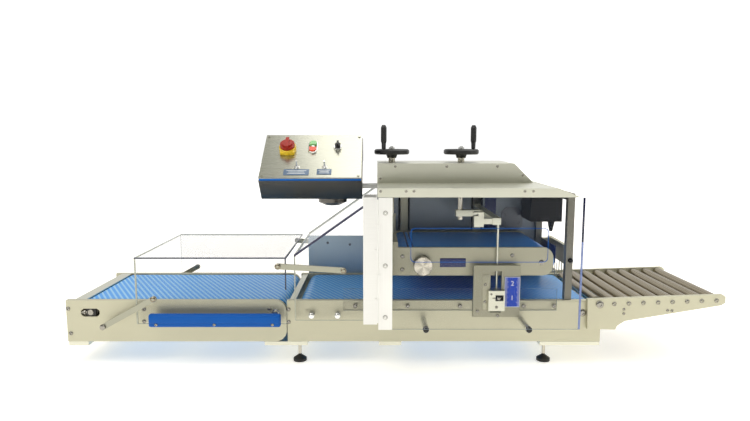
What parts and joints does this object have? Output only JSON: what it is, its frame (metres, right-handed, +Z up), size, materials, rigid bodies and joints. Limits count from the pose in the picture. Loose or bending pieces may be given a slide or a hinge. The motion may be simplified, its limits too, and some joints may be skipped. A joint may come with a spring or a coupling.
{
  "type": "belt-fed horizontal cake slicing machine",
  "caption": "Bench-top slicing machine with a clear-guarded infeed belt, a height-adjustable upper belt and blade, a tilted control box and a folding roller track.",
  "frame": {"origin": "on the floor under the middle of the machine's box", "axes": "+X along the product flow from infeed to roller track, +Y to the back, +Z up"},
  "size_m": [1.9118, 0.564, 0.702],
  "materials": {
    "anodised_plate": "cream anodised, fine brushed",
    "stainless": "brushed stainless",
    "bright_steel": "turned steel",
    "blade_steel": "ground",
    "blue_belt": "ribbed food-grade belt",
    "blue_plastic": "satin",
    "clear_acrylic": "clear, polished edges",
    "black_plastic": "moulded",
    "motor_paint": "semi-gloss",
    "yellow_plastic": "moulded",
    "red_plastic": "moulded",
    "orange_lens": "lens",
    "green_lens": "lens",
    "toggle_steel": "plated"
  },
  "bodies": {
    "base": {"infeed_side_plates": "anodised_plate", "main_side_plates": "anodised_plate", "cross_members": "stainless", "levelling_feet": "black_plastic", "conveyor_beds": "stainless", "infeed_belt": "blue_belt", "main_belt": "blue_belt", "slanted_hood": "clear_acrylic", "rear_panels": "stainless", "housing_posts": "stainless", "lower_covers": "stainless", "upper_cover": "stainless", "side_guides": "clear_acrylic", "blade_frame": "anodised_plate", "scale_plate": "blue_plastic", "discharge_bar": "anodised_plate", "drive_motors": "motor_paint", "rods_and_bolts": "bright_steel"},
    "infeed_tail": {"infeed_tail_pulley": "bright_steel"},
    "infeed_drive": {"infeed_drive_pulley": "bright_steel"},
    "main_tail": {"main_tail_pulley": "bright_steel"},
    "main_drive": {"main_drive_pulley": "bright_steel"},
    "arms": {"guard_arms": "bright_steel"},
    "guard": {"infeed_guard": "clear_acrylic", "guard_handle": "blue_plastic"},
    "stays": {"guard_stays": "bright_steel"},
    "door": {"door_pane": "clear_acrylic", "door_strip": "stainless"},
    "upper_unit": {"upper_unit_frame": "anodised_plate", "upper_belt": "blue_belt"},
    "upper_tail": {"upper_tail_pulley": "bright_steel"},
    "upper_drive": {"upper_drive_pulley": "bright_steel"},
    "belt_knob": {"tension_knob": "bright_steel"},
    "carriage": {"blade_carriage": "stainless"},
    "knife": {"blade": "blade_steel"},
    "left_wheel": {"left_handwheel": "black_plastic"},
    "left_handle": {"left_grip": "black_plastic"},
    "right_wheel": {"right_handwheel": "black_plastic"},
    "right_handle": {"right_grip": "black_plastic"},
    "track": {"track_frame": "anodised_plate"},
    "control_box": {"box_lid": "stainless", "box_gasket": "blue_plastic", "control_enclosure": "stainless", "control_bezels": "yellow_plastic", "swivel_hub": "stainless"},
    "switch": {"main_switch_knob": "red_plastic"},
    "stop": {"stop_button": "orange_lens"},
    "start": {"start_button": "green_lens"},
    "selector": {"selector_knob": "black_plastic"},
    "toggle_left": {"left_toggle": "toggle_steel"},
    "toggle_right": {"right_toggle": "toggle_steel"},
    "roller_1": {"track_roller_1": "bright_steel"},
    "roller_2": {"track_roller_2": "bright_steel"},
    "roller_3": {"track_roller_3": "bright_steel"},
    "roller_4": {"track_roller_4": "bright_steel"},
    "roller_5": {"track_roller_5": "bright_steel"},
    "roller_6": {"track_roller_6": "bright_steel"},
    "roller_7": {"track_roller_7": "bright_steel"},
    "roller_8": {"track_roller_8": "bright_steel"},
    "roller_9": {"track_roller_9": "bright_steel"}
  },
  "joints": [
    {"name": "main_drive_turn", "type": "hinge", "parent": "base", "child": "main_drive", "pos_m": [0.548, 0, 0.157], "axis": [0, 1, 0], "continuous": true},
    {"name": "main_tail_turn", "type": "hinge", "parent": "base", "child": "main_tail", "pos_m": [-0.25, 0, 0.157], "axis": [0, 1, 0], "continuous": true},
    {"name": "infeed_drive_turn", "type": "hinge", "parent": "base", "child": "infeed_drive", "pos_m": [-0.345, 0, 0.157], "axis": [0, 1, 0], "continuous": true},
    {"name": "infeed_tail_turn", "type": "hinge", "parent": "base", "child": "infeed_tail", "pos_m": [-0.886, 0, 0.157], "axis": [0, 1, 0], "continuous": true},
    {"name": "guard_lift", "type": "hinge", "parent": "base", "child": "arms", "pos_m": [-0.145, 0, 0.29], "axis": [0, 1, 0], "range_deg": [0, 45]},
    {"name": "guard_level", "type": "hinge", "parent": "arms", "child": "guard", "pos_m": [-0.331, 0, 0.302], "axis": [0, 1, 0], "range_deg": [-45, 0]},
    {"name": "stay_swing", "type": "hinge", "parent": "guard", "child": "stays", "pos_m": [-0.687, 0, 0.207], "axis": [0, 1, 0], "range_deg": [-24, 0]},
    {"name": "door_swing", "type": "hinge", "parent": "base", "child": "door", "pos_m": [-0.0485, -0.2797, 0.32], "axis": [0, 0, -1], "range_deg": [0, 110]},
    {"name": "upper_unit_height", "type": "slide", "parent": "base", "child": "upper_unit", "axis": [0, 0, 1], "range_m": [-0.01, 0.045]},
    {"name": "upper_drive_turn", "type": "hinge", "parent": "upper_unit", "child": "upper_drive", "pos_m": [0.43, 0, 0.302], "axis": [0, 1, 0], "continuous": true},
    {"name": "upper_tail_turn", "type": "hinge", "parent": "upper_unit", "child": "upper_tail", "pos_m": [0.036, 0, 0.302], "axis": [0, 1, 0], "continuous": true},
    {"name": "tension_knob_turn", "type": "hinge", "parent": "upper_unit", "child": "belt_knob", "pos_m": [0.083, -0.155, 0.295], "axis": [0, 1, 0], "range_deg": [-720, 720]},
    {"name": "blade_height", "type": "slide", "parent": "base", "child": "carriage", "axis": [0, 0, 1], "range_m": [-0.005, 0.04]},
    {"name": "blade_stroke", "type": "slide", "parent": "carriage", "child": "knife", "axis": [0, 1, 0], "range_m": [-0.008, 0.008]},
    {"name": "left_wheel_turn", "type": "hinge", "parent": "base", "child": "left_wheel", "pos_m": [-0.003, 0.025, 0.6], "axis": [0, 0, 1], "range_deg": [-360, 1620]},
    {"name": "left_grip_turn", "type": "hinge", "parent": "left_wheel", "child": "left_handle", "pos_m": [-0.02892, -0.00279, 0.66], "axis": [0, 0, 1], "continuous": true},
    {"name": "right_wheel_turn", "type": "hinge", "parent": "base", "child": "right_wheel", "pos_m": [0.216, 0.025, 0.6], "axis": [0, 0, 1], "range_deg": [-180, 1440]},
    {"name": "right_grip_turn", "type": "hinge", "parent": "right_wheel", "child": "right_handle", "pos_m": [0.254, 0.025, 0.66], "axis": [0, 0, 1], "continuous": true},
    {"name": "track_fold", "type": "hinge", "parent": "base", "child": "track", "pos_m": [0.593, 0, 0.1855], "axis": [0, -1, 0], "range_deg": [0, 88]},
    {"name": "roller_1_turn", "type": "hinge", "parent": "track", "child": "roller_1", "pos_m": [0.593, 0, 0.1855], "axis": [0, 1, 0], "continuous": true},
    {"name": "roller_2_turn", "type": "hinge", "parent": "track", "child": "roller_2", "pos_m": [0.63508, 0, 0.18692], "axis": [0, 1, 0], "continuous": true},
    {"name": "roller_3_turn", "type": "hinge", "parent": "track", "child": "roller_3", "pos_m": [0.67715, 0, 0.18834], "axis": [0, 1, 0], "continuous": true},
    {"name": "roller_4_turn", "type": "hinge", "parent": "track", "child": "roller_4", "pos_m": [0.71923, 0, 0.18975], "axis": [0, 1, 0], "continuous": true},
    {"name": "roller_5_turn", "type": "hinge", "parent": "track", "child": "roller_5", "pos_m": [0.7613, 0, 0.19117], "axis": [0, 1, 0], "continuous": true},
    {"name": "roller_6_turn", "type": "hinge", "parent": "track", "child": "roller_6", "pos_m": [0.80338, 0, 0.19259], "axis": [0, 1, 0], "continuous": true},
    {"name": "roller_7_turn", "type": "hinge", "parent": "track", "child": "roller_7", "pos_m": [0.84546, 0, 0.19401], "axis": [0, 1, 0], "continuous": true},
    {"name": "roller_8_turn", "type": "hinge", "parent": "track", "child": "roller_8", "pos_m": [0.88753, 0, 0.19542], "axis": [0, 1, 0], "continuous": true},
    {"name": "roller_9_turn", "type": "hinge", "parent": "track", "child": "roller_9", "pos_m": [0.92961, 0, 0.19684], "axis": [0, 1, 0], "continuous": true},
    {"name": "box_swivel", "type": "hinge", "parent": "base", "child": "control_box", "pos_m": [-0.19, 0.015, 0.49], "axis": [0, 0, 1], "range_deg": [-60, 5]},
    {"name": "main_switch_turn", "type": "hinge", "parent": "control_box", "child": "switch", "pos_m": [-0.322, -0.0315, 0.62496], "axis": [0, -0.6157, 0.788], "range_deg": [-90, 0]},
    {"name": "stop_press", "type": "slide", "parent": "control_box", "child": "stop", "axis": [0, 0.6157, -0.788], "range_m": [0, 0.003], "stiffness_N_per_m": 300},
    {"name": "start_press", "type": "slide", "parent": "control_box", "child": "start", "axis": [0, 0.6157, -0.788], "range_m": [0, 0.003], "stiffness_N_per_m": 300},
    {"name": "selector_turn", "type": "hinge", "parent": "control_box", "child": "selector", "pos_m": [-0.17, -0.02204, 0.63235], "axis": [0, -0.6157, 0.788], "range_deg": [-135, 135]},
    {"name": "left_toggle_flip", "type": "hinge", "parent": "control_box", "child": "toggle_left", "pos_m": [-0.287, -0.09639, 0.57807], "axis": [1, 0, 0], "range_deg": [-14, 14]},
    {"name": "right_toggle_flip", "type": "hinge", "parent": "control_box", "child": "toggle_right", "pos_m": [-0.205, -0.09639, 0.57807], "axis": [1, 0, 0], "range_deg": [-14, 14]}
  ],
  "couplings": [
    {"joint": "main_tail_turn", "follows": "main_drive_turn", "ratio": 1},
    {"joint": "infeed_drive_turn", "follows": "main_drive_turn", "ratio": 1},
    {"joint": "infeed_tail_turn", "follows": "main_drive_turn", "ratio": 1},
    {"joint": "upper_tail_turn", "follows": "upper_drive_turn", "ratio": 1},
    {"joint": "guard_level", "follows": "guard_lift", "ratio": -1},
    {"joint": "stay_swing", "follows": "guard_lift", "ratio": -0.5333},
    {"joint": "left_wheel_turn", "follows": "upper_unit_height", "rad_per_m": 628.32},
    {"joint": "right_wheel_turn", "follows": "blade_height", "rad_per_m": 628.32}
  ]
}
